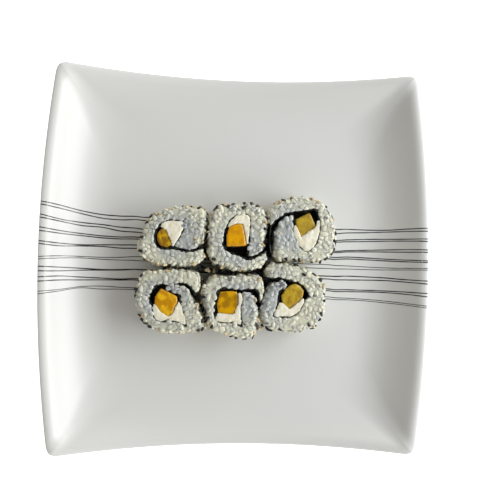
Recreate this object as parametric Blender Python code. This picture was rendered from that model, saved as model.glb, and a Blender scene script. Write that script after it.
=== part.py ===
"""Six cut sushi rolls with the rice outside, served in two rows of three on a square plate.

Lengths are in millimetres until a mesh is made. +Z is up, X runs along the rows and +Y points
to the rear row. The origin is the middle of the plate's foot. Each roll stands on one cut face
and shows the other: a band of rice that winds round a sheet of nori, and in the nori's pocket
cream cheese and a strip of mango. Every layer is a solid of its own that runs through the roll.
"""

import math
from dataclasses import dataclass

import bmesh
import bpy
from mathutils import Vector, noise

MM = 0.001
GAP = 0.3  # clearance between two solids that touch in the real dish

# Plate: a square dish with bowed sides and dipped ends, whose four corners stand highest.
CORNER_X = 117.9
CORNER_Y = 126.1
SIDE_BOW = 9.6
END_DIP = 4.8
CORNER_CUT = 0.06  # share of each half edge that the corner's curve takes up
RIM_CORNER_Z = 26.0
RIM_SIDE_Z = 24.0
RIM_END_Z = 13.0
FLOOR_X = 80.0
FLOOR_Y = 75.0
FLOOR_CUT = 0.4
FLOOR_Z = 6.0
PORCELAIN = 4.5
FOOT_X = 70.0
FOOT_Y = 66.0
FOOT_WIDTH = 6.0
FOOT_RECESS = 1.2
FOOT_CUT = 0.16
WALL_RISE = 2.8  # power of the wall's rise from the floor
ROLL_FROM = 0.9  # step from which the wall rolls over to the level of the rim
WALL_STEPS = (0.0, 0.25, 0.42, 0.56, 0.68, 0.78, 0.86, 0.92, 0.97)
# The lip of the rim from outside in, as pairs of inset and drop.
RIM_LIP = ((1.0, 4.0), (0.1, 2.8), (0.0, 1.6), (0.4, 0.6), (1.3, 0.1), (2.8, 0.0))
SIDE_STEPS = 10
CORNER_STEPS = 6

# Rolls: the layers' thicknesses and the softness of their edges.
NORI = 0.7
NORI_DROP = 0.4
SHOULDER = 2.4
SHOULDER_DROP = 2.8
SHOULDER_SHAPE = ((1.0, 0.12), (0.3, 0.4), (0.0, 1.0))  # shares of its drop and inset, going up
BELLY = 0.35  # share of the height at which the rice stands out furthest
FOOT_ROUND = 1.0
CUT_ROUND = 0.25
UNEVEN = 0.35  # how far the rice bulges in and out along its outside
UNEVEN_SIZE = 6.0
SHARPEST = 0.3  # limits how far a fold's corner runs out when its outline is moved
MANGO_ROUND = 0.7
CREAM_ROUND = 0.25
CREAM_DROP = 0.5
STRIP_GAP = 0.45
BASE_Z = FLOOR_Z + GAP


@dataclass(frozen=True)
class Roll:
    """One cut roll, drawn on its cut face from its own middle.

    outside runs along the rice from the outer end of the band round to the seam, and tuck on
    from the seam to the tip of the band's inner end. nori is the path of the sheet from the
    seam inwards, with folds at the numbered points. The rice band starts at nori point
    band_from. cream_nori are the stretches of the nori that the cream reaches, and cream_mango
    is the stretch of the mango's outline.
    """

    name: str
    middle: tuple
    height: float
    slope: tuple
    outside: tuple
    tuck: tuple
    nori: tuple
    folds: tuple
    band_from: int
    mango: tuple
    mango_drop: float
    cream_nori: tuple
    cream_mango: tuple


ROLLS = (
    Roll(
        name="rear_left",
        middle=(-42.3, 14.6),
        height=25.5,
        slope=(0.01, -0.02),
        outside=(
            (20.5, -10.5), (19, -15), (13.5, -18.3), (0, -18.9), (-12.5, -17), (-19.5, -12.5),
            (-21.8, -5), (-18.3, 0.5), (-17.3, 6), (-13, 12.8), (-4, 17.2), (8, 19.2), (19, 18.4),
            (21.6, 13.5), (21, 4), (18.8, -4),
        ),
        tuck=((15, -7.4), (9, -8.6), (2.5, -6.6)),
        nori=(
            (19.6, -7.6), (14.5, -9), (8.5, -9.8), (1, -7.6), (-8.5, -7.8), (-11, -2), (-9.8, 4),
            (-6.5, 7.6), (-1, 9.8), (5.5, 9.2), (12.6, 12.6), (9.8, 8.6), (6.9, 5), (4.7, 0.2),
            (1.4, -5.9),
        ),
        folds=(10,),
        band_from=0,
        mango=(
            (-8.4, 2.8), (-6, 5), (-4.2, 4), (-3, 1.5), (-0.8, -2.8), (-1, -6), (-4, -7), (-7.2, -6.2),
            (-9.2, -3), (-9.6, 0.4),
        ),
        mango_drop=0.9,
        cream_nori=((7, 9), (12, 14)),
        cream_mango=(5, 1),
    ),
    Roll(
        name="rear_middle",
        middle=(-0.6, 15.2),
        height=26.2,
        slope=(-0.01, 0.015),
        outside=(
            (19, -10), (18.6, -15.5), (13.5, -19.6), (5, -21.7), (-4.5, -21.2), (-15, -17.6),
            (-18.6, -12), (-19.3, -2), (-18.8, 9), (-16.5, 15), (-11.5, 19.6), (-2.5, 20), (6, 21.4),
            (14, 19), (17.5, 14.5), (18.2, 5), (17.6, -3),
        ),
        tuck=((15.4, -8.6), (11, -11.6), (6.6, -12.8)),
        nori=(
            (18.4, -8.9), (15, -11), (11.5, -13), (6, -14.2), (0, -12), (-5.5, -10), (-9, -6.8),
            (-9.2, -1.5), (-7.9, 4.2), (-4.8, 10.2), (2.5, 14), (7, 11.6), (7.1, 4), (6.6, -4), (6, -11),
        ),
        folds=(),
        band_from=0,
        mango=(
            (-5.6, 6), (-1, 7.6), (2.4, 7.4), (4, 1), (5, -5.6), (0, -6.2), (-6.8, -6.2), (-7.2, 0),
        ),
        mango_drop=0.3,
        cream_nori=((8, 13),),
        cream_mango=(4, 0),
    ),
    Roll(
        name="rear_right",
        middle=(40.6, 20.6),
        height=27.0,
        slope=(-0.012, -0.02),
        outside=(
            (-22, 4), (-21.8, 10), (-17.5, 16.2), (-9.5, 19.8), (1, 21.1), (9, 19.5), (16, 14.2),
            (20.2, 6), (22, -1.5), (20.8, -11.5), (17, -18.5), (9, -20.6), (-4, -19.7), (-14, -20.2),
            (-18, -16.5), (-18.9, -8), (-18.2, -1),
        ),
        tuck=((-15, 4.2), (-11, 7.2), (-6.6, 8.8)),
        nori=(
            (-20.2, -15.5), (-21, -8), (-20.6, -1), (-20, 1.8), (-15.5, 6.3), (-10, 10), (-2, 11.2),
            (4, 12), (8.8, 12.9), (10.9, 5.5), (10.6, -1), (9.3, -8), (4.5, -13.9), (-1, -11.5),
            (-5, -4), (-5.8, 2), (-5.6, 6.8),
        ),
        folds=(8,),
        band_from=3,
        mango=(
            (-4.2, 6), (0.2, 8.5), (4.2, 10.7), (6.7, 6.2), (9.1, 1.2), (4, -2), (-1.6, -5.9), (-3.8, 0),
        ),
        mango_drop=1.4,
        cream_nori=((9, 15),),
        cream_mango=(7, 4),
    ),
    Roll(
        name="front_left",
        middle=(-42.8, -26.2),
        height=25.0,
        slope=(0.015, 0.01),
        outside=(
            (16.8, 4.4), (18.6, 7.5), (18.8, 13), (16.6, 17.4), (8, 19.6), (-5, 19.4), (-15, 18.6),
            (-19.6, 14), (-21.6, 6), (-21.4, -3), (-18.2, -11.5), (-12.5, -17.6), (-3, -20.2),
            (9, -20.4), (20, -18.4), (21.6, -13.5), (18.6, -5), (15.5, 0.5),
        ),
        tuck=((12.2, 5), (10, 8.2), (6.2, 8.9), (1.5, 8.6), (-1.4, 8)),
        nori=(
            (15.8, 3.2), (13.4, 7), (10.6, 10.2), (4, 10.4), (-2.5, 9.6), (-6.6, 10), (-10.6, 7.2),
            (-13.2, 1), (-10.8, -4), (-10, -10), (-6, -13), (0, -12.4), (6, -13.8), (10.8, -16.4),
            (8.6, -9.5), (6.6, -3), (5.6, 3.2), (1.8, 5.3), (-1.2, 6.6),
        ),
        folds=(13,),
        band_from=0,
        mango=(
            (-9.4, 2), (-6.2, 7.1), (-2.6, 5.6), (3.9, 2.2), (4.3, -1), (1.4, -7.6), (-1.2, -10),
            (-6, -6.8), (-9.4, -2),
        ),
        mango_drop=0.2,
        cream_nori=((8, 15),),
        cream_mango=(4, 8),
    ),
    Roll(
        name="front_middle",
        middle=(-3.6, -29.2),
        height=25.8,
        slope=(0.01, 0.018),
        outside=(
            (18.9, 3.8), (20, 7.5), (19.4, 16), (15.5, 19.6), (6, 19.9), (-7, 18.6), (-14, 17.6),
            (-18.4, 12.5), (-19.8, 5.5), (-17.8, -1), (-16, -9), (-13.6, -14.4), (-7, -17.2),
            (3, -19.8), (10, -20.6), (14.6, -17.5), (16.6, -8), (16.8, -1),
        ),
        tuck=((14, 6), (11, 8.4), (7, 8.9)),
        nori=(
            (17.5, 2.6), (16.8, 7), (14.6, 10.6), (7, 10.1), (-1.5, 10.4), (-8.5, 10.2), (-10.9, 1),
            (-10.1, -8.4), (-5, -10.4), (1, -10.2), (6.4, -12.6), (5, -4), (6.1, 3), (5.4, 7.6),
        ),
        folds=(10,),
        band_from=0,
        mango=(
            (-7.9, 8.6), (-3, 9.2), (2.3, 9), (3.7, 6), (3.4, 0.5), (1.6, -4.9), (-4.5, -5.5),
            (-8.7, -4.4), (-9.6, 1),
        ),
        mango_drop=0.8,
        cream_nori=((7, 13),),
        cream_mango=(3, 7),
    ),
    Roll(
        name="front_right",
        middle=(35.7, -23.2),
        height=24.6,
        slope=(-0.015, 0.012),
        outside=(
            (-18, 13.6), (-17.8, 18.5), (-14, 21.7), (-5, 22), (4, 19.6), (13.5, 15.8), (19.2, 9.8),
            (21.3, 3), (20.2, -8), (17, -16), (10, -20.6), (0, -22.2), (-10, -20.9), (-17.5, -19.8),
            (-21, -12.5), (-20.2, -4), (-18, 2.5),
        ),
        tuck=((-14, 8.6), (-9.5, 10), (-5, 9.2)),
        nori=(
            (-18.2, 12), (-12, 12), (-6, 11.4), (0.5, 9.8), (6.5, 7), (10.4, 1), (6.8, -2.6),
            (4, -8.5), (-1, -12), (-7, -12.6), (-12.4, -12), (-9.6, -4), (-8.9, 2.6), (-5.2, 7.4),
        ),
        folds=(5, 10),
        band_from=0,
        mango=(
            (-7.6, 1), (-5.2, 4.8), (-2.2, 7.4), (1.2, 8.5), (4.4, 6.9), (6.5, 4), (5.8, -0.4),
            (0.5, -5), (-3.2, -7.5), (-6.4, -4.4),
        ),
        mango_drop=0.6,
        cream_nori=((6, 11),),
        cream_mango=(9, 6),
    ),
)


def clear_scene():
    """Remove every object that the file holds."""
    for item in list(bpy.data.objects):
        bpy.data.objects.remove(item, do_unlink=True)


def finish(name, colour, roughness):
    """Make a non-metallic material."""
    material = bpy.data.materials.new(name)
    material.use_nodes = True
    shader = material.node_tree.nodes["Principled BSDF"]
    shader.inputs["Base Color"].default_value = (*colour, 1.0)
    shader.inputs["Roughness"].default_value = roughness
    shader.inputs["Metallic"].default_value = 0.0
    return material


def loft(name, levels, material, parent):
    """Draw the first level as a face, then extrude it from level to level into a closed body."""
    bm = bmesh.new()
    station = bm.verts.layers.int.new("station")
    corners = [bm.verts.new(point * MM) for point in levels[0]]
    for number, corner in enumerate(corners):
        corner[station] = number
    cap = bm.faces.new(corners)
    for level in levels[1:]:
        made = bmesh.ops.extrude_face_region(bm, geom=[cap])["geom"]
        if level is not levels[1]:
            bmesh.ops.delete(bm, geom=[cap], context="FACES_ONLY")
        cap = next(item for item in made if isinstance(item, bmesh.types.BMFace))
        for corner in cap.verts:
            corner.co = level[corner[station]] * MM
    bmesh.ops.recalc_face_normals(bm, faces=bm.faces)
    mesh = bpy.data.meshes.new(name)
    bm.to_mesh(mesh)
    bm.free()
    mesh.shade_smooth()
    mesh.set_sharp_from_angle(angle=math.radians(40))
    mesh.materials.append(material)
    piece = bpy.data.objects.new(name, mesh)
    piece.parent = parent
    bpy.context.collection.objects.link(piece)
    return piece


def square_loop(half_x, half_y, bow, dip, cut):
    """Points of a square outline with bowed sides, dipped ends and curved corners.

    Each point comes with its height share: 0 in the middle of a side or an end and 1 at a
    corner, and with True where it lies on one of the two bowed sides.
    """
    def on_edge(edge, t):
        if edge % 2 == 0:
            point = Vector((half_x + bow * (1 - t * t), t * half_y))
        else:
            point = Vector((-t * half_x, half_y - dip * (1 - t * t)))
        return point if edge < 2 else -point

    points = []
    for edge in range(4):
        for step in range(SIDE_STEPS + 1):
            t = (1 - cut) * (2 * step / SIDE_STEPS - 1)
            points.append((on_edge(edge, t), t * t, edge % 2 == 0))
        start, tip, end = on_edge(edge, 1 - cut), on_edge(edge, 1), on_edge((edge + 1) % 4, cut - 1)
        for step in range(1, CORNER_STEPS):
            s = step / CORNER_STEPS
            point = start * (1 - s) ** 2 + tip * 2 * s * (1 - s) + end * s ** 2
            points.append((point, (1 - cut * abs(1 - 2 * s)) ** 2, (edge % 2 == 0) == (s < 0.5)))
    return points


def rim_height(share, on_side):
    """Height of the rim at a point of the outline."""
    middle = RIM_SIDE_Z if on_side else RIM_END_Z
    return middle + (RIM_CORNER_Z - middle) * share


def level_loop(points, z):
    """An outline at one height."""
    return [Vector((point.x, point.y, z)) for point, _, _ in points]


def rim_loop(inset, drop):
    """The rim's outline, drawn in and lowered."""
    points = square_loop(CORNER_X - inset, CORNER_Y - inset, SIDE_BOW, END_DIP, CORNER_CUT)
    return [Vector((point.x, point.y, rim_height(share, side) - drop)) for point, share, side in points]


def wall_rise(step):
    """Share of the wall's height: it rises ever more steeply, then rolls over to the rim."""
    slope = WALL_RISE * ROLL_FROM ** (WALL_RISE - 1)
    steepness = 1 / (ROLL_FROM ** WALL_RISE + slope * (1 - ROLL_FROM) / 2)
    if step < ROLL_FROM:
        return steepness * step ** WALL_RISE
    return 1 - steepness * slope / (1 - ROLL_FROM) / 2 * (1 - step) ** 2


def wall_loop(step, drop):
    """A loop of the wall: step 0 lies at the edge of the floor and step 1 at the rim."""
    floor = level_loop(square_loop(FLOOR_X, FLOOR_Y, 0, 0, FLOOR_CUT), FLOOR_Z)
    rim = rim_loop(*RIM_LIP[-1])
    rise = wall_rise(step)
    loop = []
    for low, high in zip(floor, rim):
        flat = low.lerp(high, step)
        loop.append(Vector((flat.x, flat.y, low.z + (high.z - low.z) * rise - drop)))
    return loop


def make_plate(parent):
    """The plate, from the recess under its foot, out and over the rim, and down to its floor."""
    glaze = finish("plate_glaze", (0.86, 0.87, 0.86), 0.12)
    under = FLOOR_Z - PORCELAIN
    inner = square_loop(FOOT_X - FOOT_WIDTH, FOOT_Y - FOOT_WIDTH, 0, 0, FOOT_CUT)
    outer = square_loop(FOOT_X, FOOT_Y, 0, 0, FOOT_CUT)
    levels = [level_loop(inner, FOOT_RECESS), level_loop(inner, 0)]
    levels += [level_loop(outer, 0), level_loop(outer, under)]
    levels += [wall_loop(step, PORCELAIN) for step in WALL_STEPS]
    levels += [rim_loop(inset, drop) for inset, drop in RIM_LIP]
    levels += [wall_loop(step, 0) for step in reversed(WALL_STEPS)]
    return loft("plate", levels, glaze, parent)


def smooth(points, folds=(), closed=False, steps=2):
    """A flowing curve through the points, which turns sharply at the folds."""
    points = [Vector(point) for point in points]
    count = len(points)
    spans = count if closed else count - 1
    curve = []
    for i in range(spans):
        start, end = points[i], points[(i + 1) % count]
        before = points[i - 1] if (closed or i > 0) and i not in folds else start
        beyond = i + 1 not in folds and (closed or i + 2 < count)
        after = points[(i + 2) % count] if beyond else end
        for step in range(steps):
            t = step / steps
            along = (end - before) * t + (2 * before - 5 * start + 4 * end - after) * t ** 2
            along += (3 * start - before - 3 * end + after) * t ** 3
            curve.append(start + along * 0.5)
    if not closed:
        curve.append(points[-1])
    return curve


def normals(curve, closed=False):
    """Left-hand normals at a curve's points, longer at bends so that the distance stays even."""
    count = len(curve)
    result = []
    for i in range(count):
        arms = []
        if closed or i > 0:
            arms.append((curve[i] - curve[i - 1]).normalized())
        if closed or i < count - 1:
            arms.append((curve[(i + 1) % count] - curve[i]).normalized())
        sides = [Vector((-arm.y, arm.x)) for arm in arms]
        total = sum(sides, Vector((0, 0)))
        middle = total.normalized()
        result.append(middle / max(middle.dot(sides[0]), SHARPEST))
    return result


def beside(curve, distance, closed=False):
    """The curve moved to its left by a distance, or to its right if it is negative."""
    return [point + normal * distance for point, normal in zip(curve, normals(curve, closed))]


def turn(points):
    """1 for an outline that runs anticlockwise, -1 for one that runs clockwise."""
    area = sum(a.x * b.y - b.x * a.y for a, b in zip(points, points[1:] + points[:1]))
    return 1 if area > 0 else -1


class Slice:
    """Builds the solids of one roll."""

    def __init__(self, roll, parent, finishes):
        self.roll = roll
        self.parent = parent
        self.finishes = finishes
        self.hand = turn([Vector(point) for point in roll.outside])
        self.sheet = smooth(roll.nori, roll.folds)

    def place(self, point, share, drop=0.0):
        """Put a point of the cut face at a share of the way from the plate up to the top."""
        roll = self.roll
        top = BASE_Z + roll.height + roll.slope[0] * point.x + roll.slope[1] * point.y - drop
        return Vector((roll.middle[0] + point.x, roll.middle[1] + point.y, BASE_Z + (top - BASE_Z) * share))

    def sheet_span(self, first, last, distance):
        """The stretch between two nori points, moved out to the band or, if negative, inwards."""
        moved = beside(self.sheet, -self.hand * distance)
        step = 1 if last >= first else -1
        return [moved[i] for i in range(2 * first, 2 * last + step, step)]

    def make_rice(self):
        """The band of rice: its outside, its tucked inner end, and back along the nori."""
        roll = self.roll
        outside = smooth(roll.outside + roll.tuck[:1])[:-1]
        tuck = smooth(roll.tuck)
        lining = self.sheet_span(len(roll.nori) - 1, roll.band_from, NORI / 2 + GAP)
        flat = outside + tuck + lining
        inward = [normal * self.hand for normal in normals(flat, closed=True)]
        softness = [1.0] * len(outside) + [0.0] * (len(tuck) + len(lining))
        profile = [(0.0, FOOT_ROUND, CUT_ROUND), (BELLY, 0.0, 0.0)]
        for below, inset in SHOULDER_SHAPE:
            share = 1.0 - below * SHOULDER_DROP / roll.height
            profile.append((share, inset * SHOULDER, CUT_ROUND if share == 1.0 else 0.0))
        levels = []
        for share, outer_round, inner_round in profile:
            level = []
            for point, normal, soft in zip(flat, inward, softness):
                spot = Vector((roll.middle[0] + point.x, roll.middle[1] + point.y, share * roll.height))
                swell = UNEVEN * (0.5 + 0.5 * noise.noise(spot / UNEVEN_SIZE))
                inset = soft * (outer_round + swell) + (1 - soft) * inner_round
                level.append(self.place(point + normal * inset, share))
            levels.append(level)
        return loft("rice_" + roll.name, levels, self.finishes["rice"], self.parent)

    def make_nori(self):
        """The sheet of nori, on edge."""
        last = len(self.roll.nori) - 1
        flat = self.sheet_span(0, last, NORI / 2) + self.sheet_span(last, 0, -NORI / 2)
        levels = [[self.place(point, share, NORI_DROP) for point in flat] for share in (0.0, 1.0)]
        return loft("nori_" + self.roll.name, levels, self.finishes["nori"], self.parent)

    def make_filling(self, kind, flat, drop, rounding):
        """A filling that runs through the roll, rounded where it was cut."""
        inward = [normal * turn(flat) for normal in normals(flat, closed=True)]
        levels = []
        for share, inset in ((0.0, 0.0), (1.0 - rounding / self.roll.height, 0.0), (1.0, rounding)):
            points = [point + normal * inset for point, normal in zip(flat, inward)]
            levels.append([self.place(point, share, drop) for point in points])
        return loft(kind + "_" + self.roll.name, levels, self.finishes[kind], self.parent)

    def make_mango(self):
        """The strip of mango."""
        flat = [Vector(point) for point in self.roll.mango]
        return self.make_filling("mango", flat, self.roll.mango_drop, MANGO_ROUND)

    def make_cream(self):
        """The cream cheese: out to the nori on one side and round the mango on the other."""
        roll = self.roll
        outer = []
        for first, last in roll.cream_nori:
            outer += self.sheet_span(first, last, -(NORI / 2 + GAP))
        strip = [Vector(point) for point in roll.mango]
        grown = beside(strip, -turn(strip) * STRIP_GAP, closed=True)
        first, last = roll.cream_mango
        step = 1 if last >= first else -1
        inner = [grown[i] for i in range(first, last + step, step)]
        return self.make_filling("cream_cheese", outer + inner, CREAM_DROP, CREAM_ROUND)


def main():
    """Build the plate and the six rolls."""
    clear_scene()
    dish = bpy.data.objects.new("dish", None)
    bpy.context.collection.objects.link(dish)
    finishes = {
        "rice": finish("rice", (0.78, 0.79, 0.76), 0.45),
        "nori": finish("nori", (0.012, 0.014, 0.012), 0.5),
        "mango": finish("mango", (0.72, 0.4, 0.02), 0.3),
        "cream_cheese": finish("cream_cheese", (0.9, 0.89, 0.83), 0.4),
    }
    make_plate(dish)
    for roll in ROLLS:
        cut = Slice(roll, dish, finishes)
        cut.make_rice()
        cut.make_nori()
        cut.make_mango()
        cut.make_cream()


main()
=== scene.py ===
"""Dresses six cut sushi rolls and the square plate that they are served on.

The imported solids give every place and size. The plate is drawn again with fine curves and gets
its glaze and its pairs of painted lines. Each band of rice becomes a rough core under some
hundreds of grains. The nori, the cream cheese and the mango are softened copies of their
solids, and sesame seeds lie on the rice.
"""

import logging
import math
from dataclasses import dataclass
from enum import Enum
from typing import Iterable, Sequence

import bmesh
import bpy
import numpy as np
from mathutils import Matrix, Vector, noise
from mathutils.bvhtree import BVHTree

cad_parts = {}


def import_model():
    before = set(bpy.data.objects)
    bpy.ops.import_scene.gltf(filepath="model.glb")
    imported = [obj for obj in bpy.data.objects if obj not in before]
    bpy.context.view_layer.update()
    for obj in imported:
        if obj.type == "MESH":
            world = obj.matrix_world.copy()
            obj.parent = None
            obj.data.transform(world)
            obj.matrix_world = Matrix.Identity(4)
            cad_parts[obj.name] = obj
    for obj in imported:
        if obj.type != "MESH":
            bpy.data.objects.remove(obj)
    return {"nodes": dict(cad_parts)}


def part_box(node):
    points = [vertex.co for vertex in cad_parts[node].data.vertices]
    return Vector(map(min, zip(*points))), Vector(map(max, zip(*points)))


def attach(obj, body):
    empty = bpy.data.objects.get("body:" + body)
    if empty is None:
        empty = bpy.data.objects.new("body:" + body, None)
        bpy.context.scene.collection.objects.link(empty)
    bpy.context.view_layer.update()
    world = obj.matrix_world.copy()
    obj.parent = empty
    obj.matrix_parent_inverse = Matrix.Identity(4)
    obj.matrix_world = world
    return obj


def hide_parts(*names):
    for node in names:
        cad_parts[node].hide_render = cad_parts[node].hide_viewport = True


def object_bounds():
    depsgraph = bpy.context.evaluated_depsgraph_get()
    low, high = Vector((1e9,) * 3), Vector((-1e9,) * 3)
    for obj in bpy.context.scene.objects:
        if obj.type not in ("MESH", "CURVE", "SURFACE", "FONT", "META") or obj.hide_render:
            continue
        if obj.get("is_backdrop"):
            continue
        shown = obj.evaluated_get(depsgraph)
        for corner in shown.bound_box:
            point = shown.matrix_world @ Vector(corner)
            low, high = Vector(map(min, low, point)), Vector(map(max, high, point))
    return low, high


MM = 0.001
BODY = "root"
LOG = logging.getLogger("sushi")

Colour = tuple[float, float, float]
Pair = tuple[float, float]


class Kind(Enum):
    """What a patch of a rice band's solid faces."""

    CUT = "cut"
    FOOT = "foot"
    LINING = "lining"
    OUTSIDE = "outside"


class Sesame(Enum):
    """The two sorts of sesame seed."""

    BLACK = "black_sesame"
    TOASTED = "toasted_sesame"


# --------------------------------------------------------------------------- modelling helpers


def take_up(piece: bpy.types.Object) -> None:
    """Selects one object and makes it the active one.

    Args:
        piece: The object that the next operators act on.
    """
    bpy.ops.object.select_all(action="DESELECT")
    piece.select_set(True)
    bpy.context.view_layer.objects.active = piece


def apply_modifiers(piece: bpy.types.Object) -> None:
    """Applies an object's modifiers in their order.

    Args:
        piece: The object to finish.
    """
    take_up(piece)
    for modifier in list(piece.modifiers):
        bpy.ops.object.modifier_apply(modifier=modifier.name)


def merged_copy(node: bpy.types.Object, name: str) -> bpy.types.Object:
    """Copies a CAD node's mesh into a new object and merges its loose triangles.

    Args:
        node: The CAD node's object.
        name: Name of the new piece.

    Returns:
        The new object, with its place in its mesh.
    """
    piece = bpy.data.objects.new(name, node.data.copy())
    piece.data.name = name
    piece.data.materials.clear()
    bpy.context.scene.collection.objects.link(piece)
    take_up(piece)
    bpy.ops.mesh.customdata_custom_splitnormals_clear()
    bpy.ops.object.mode_set(mode="EDIT")
    bpy.ops.mesh.select_all(action="SELECT")
    bpy.ops.mesh.remove_doubles(threshold=0.00001)
    bpy.ops.object.mode_set(mode="OBJECT")
    return piece


def dress(piece: bpy.types.Object, material: bpy.types.Material) -> None:
    """Gives a finished piece its material and the body that it rides on.

    Args:
        piece: The finished piece.
        material: What it is made of.
    """
    piece.data.materials.clear()
    piece.data.materials.append(material)
    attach(piece, BODY)
    LOG.info("%s: %d faces", piece.name, len(piece.data.polygons))


def flow(points: Sequence[Sequence[float]], steps: int) -> list[Vector]:
    """Draws a flowing open curve through some points.

    Args:
        points: The points that the curve passes.
        steps: How many stretches each span is cut into.

    Returns:
        The curve's points, ends included.
    """
    knots = [Vector(point) for point in points]
    curve = []
    for i in range(len(knots) - 1):
        start, end = knots[i], knots[i + 1]
        before = knots[i - 1] if i > 0 else start * 2 - end
        after = knots[i + 2] if i + 2 < len(knots) else end * 2 - start
        for step in range(steps):
            t = step / steps
            along = (end - before) * t + (2 * before - 5 * start + 4 * end - after) * t**2
            along += (3 * start - before - 3 * end + after) * t**3
            curve.append(start + along * 0.5)
    curve.append(knots[-1])
    return curve


def clouds(name: str, size: float) -> bpy.types.Texture:
    """Makes the soft random pattern that a Displace modifier reads.

    Args:
        name: Name of the pattern.
        size: Size of its blobs in metres.

    Returns:
        The texture.
    """
    pattern = bpy.data.textures.new(name, "CLOUDS")
    pattern.noise_scale = size
    pattern.noise_depth = 2
    return pattern


def roughen(piece: bpy.types.Object, size: float, strength: float, sink: float = 0.0) -> None:
    """Adds a Displace modifier that makes a surface lumpy.

    Args:
        piece: The piece to roughen.
        size: Size of the lumps in metres.
        strength: Height between the lowest and the highest lump in metres.
        sink: How far the whole surface moves inwards, in metres.
    """
    lumps = piece.modifiers.new("lumps", "DISPLACE")
    lumps.texture = clouds(piece.name + "_lumps", size)
    lumps.texture_coords = "LOCAL"
    lumps.strength = strength
    lumps.mid_level = 0.5 + (sink / strength if strength else 0.0)


def remesh(piece: bpy.types.Object, voxel: float, softening: int) -> None:
    """Adds a voxel Remesh modifier, and a Smooth one after it.

    Args:
        piece: The piece to remesh.
        voxel: Size of the voxels in metres.
        softening: How many times its points are evened out.
    """
    grid = piece.modifiers.new("grid", "REMESH")
    grid.mode = "VOXEL"
    grid.voxel_size = voxel
    grid.use_smooth_shade = True
    if softening:
        even = piece.modifiers.new("even", "SMOOTH")
        even.factor = 0.5
        even.iterations = softening


@dataclass
class Skin:
    """A mesh read for its surface: random spots on it, and the nearest spot to a point."""

    corners: np.ndarray
    faces: np.ndarray
    tree: BVHTree

    @classmethod
    def of(cls, piece: bpy.types.Object) -> "Skin":
        """Reads an object's mesh.

        Args:
            piece: A mesh object with its place in its mesh.

        Returns:
            Its skin.
        """
        mesh = piece.data
        mesh.calc_loop_triangles()
        corners = np.zeros(len(mesh.vertices) * 3, np.float32)
        mesh.vertices.foreach_get("co", corners)
        faces = np.zeros(len(mesh.loop_triangles) * 3, np.int32)
        mesh.loop_triangles.foreach_get("vertices", faces)
        corners = corners.reshape(-1, 3).astype(float)
        faces = faces.reshape(-1, 3)
        return cls(corners, faces, BVHTree.FromPolygons(corners.tolist(), faces.tolist()))

    @classmethod
    def of_both(cls, first: bpy.types.Object, second: bpy.types.Object) -> "Skin":
        """Reads two objects as one skin.

        Args:
            first: A mesh object.
            second: Another one.

        Returns:
            Their skin.
        """
        one, other = cls.of(first), cls.of(second)
        corners = np.concatenate([one.corners, other.corners])
        faces = np.concatenate([one.faces, other.faces + len(one.corners)])
        return cls(corners, faces, BVHTree.FromPolygons(corners.tolist(), faces.tolist()))

    def normals(self) -> np.ndarray:
        """Returns each triangle's outward normal times twice its area."""
        a, b, c = (self.corners[self.faces[:, i]] for i in range(3))
        return np.cross(b - a, c - a)

    def spots(self, count: int, chance: np.ndarray, rng: np.random.Generator) -> tuple:
        """Picks random spots, evenly over the area.

        Args:
            count: How many spots to pick.
            chance: Weight of each triangle for each unit of its area.
            rng: The source of random numbers.

        Returns:
            The spots and the number of the triangle that each lies on.
        """
        area = np.linalg.norm(self.normals(), axis=1) * chance
        picked = rng.choice(len(area), size=count, p=area / area.sum())
        a, b, c = (self.corners[self.faces[picked, i]] for i in range(3))
        u, v = rng.random((2, count, 1))
        turned = (u + v) > 1
        u, v = np.where(turned, 1 - u, u), np.where(turned, 1 - v, v)
        return a + (b - a) * u + (c - a) * v, picked

    def near(self, spot: Vector, distance: float) -> bool:
        """Tells if a spot lies within a distance of the surface."""
        return self.tree.find_nearest(spot, distance)[0] is not None

    def height(self, x: float, y: float) -> float | None:
        """Returns the height of the surface at a place seen from above, or None beside it."""
        hit = self.tree.ray_cast(Vector((x, y, 0.1)), Vector((0, 0, -1)))[0]
        return None if hit is None else hit.z


def thinned(points: np.ndarray, spacing: float) -> list[int]:
    """Keeps points that lie at least a given distance apart.

    Args:
        points: Candidate points, kept in their order.
        spacing: The least distance.

    Returns:
        Numbers of the kept points.
    """
    cells: dict[tuple, list[int]] = {}
    kept = []
    for number, point in enumerate(points):
        home = tuple(int(math.floor(value / spacing)) for value in point)
        near = (
            other
            for dx in (-1, 0, 1)
            for dy in (-1, 0, 1)
            for dz in (-1, 0, 1)
            for other in cells.get((home[0] + dx, home[1] + dy, home[2] + dz), ())
        )
        if all(np.sum((points[other] - point) ** 2) >= spacing**2 for other in near):
            cells.setdefault(home, []).append(number)
            kept.append(number)
    return kept


def joined(name: str, bodies: Iterable[np.ndarray], faces: list[list[int]]) -> bpy.types.Object:
    """Joins copies of one small shape into one mesh.

    Args:
        name: Name of the new piece.
        bodies: The corners of each copy.
        faces: The faces of one copy.

    Returns:
        The new object.
    """
    bodies = list(bodies)
    size = len(bodies[0])
    polygons = [[corner + i * size for corner in face] for i in range(len(bodies)) for face in faces]
    mesh = bpy.data.meshes.new(name)
    mesh.from_pydata(np.concatenate(bodies).tolist(), [], polygons)
    mesh.shade_smooth()
    mesh.update()
    piece = bpy.data.objects.new(name, mesh)
    bpy.context.scene.collection.objects.link(piece)
    return piece


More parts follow.
